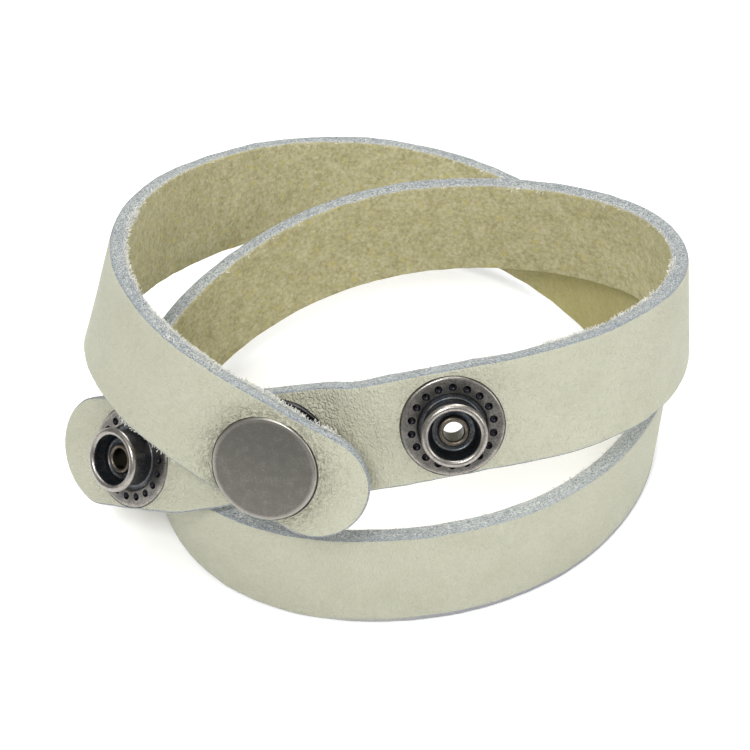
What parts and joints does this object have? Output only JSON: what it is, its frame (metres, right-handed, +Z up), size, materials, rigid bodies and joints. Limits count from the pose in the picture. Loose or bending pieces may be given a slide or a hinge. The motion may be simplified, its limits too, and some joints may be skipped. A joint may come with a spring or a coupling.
{
  "type": "leather wrap bracelet",
  "caption": "Leather strap wound twice round the wrist, with a flat snap at one rounded end and dimpled snap studs for several settings at the other.",
  "frame": {"origin": "middle of the bracelet's footprint, on the surface that it stands on", "axes": "+Z up along the way a wrist goes in, +Y away from the snap towards the back of the loop, +X to the right of someone who faces the snap"},
  "size_m": [0.0754, 0.0732, 0.0363],
  "materials": {
    "leather": "matt, fine pebble grain outside, open suede inside",
    "gunmetal": "antique gunmetal plating, dark in the hollows, polished on the rims",
    "cap_metal": "satin gunmetal plating"
  },
  "bodies": {
    "root": {"strap": "leather", "snap_cap": "cap_metal", "snap_socket": "gunmetal", "stud_1": "gunmetal", "stud_2": "gunmetal", "stud_3": "gunmetal", "rivet_1": "gunmetal", "rivet_2": "gunmetal", "rivet_3": "gunmetal"}
  },
  "joints": []
}
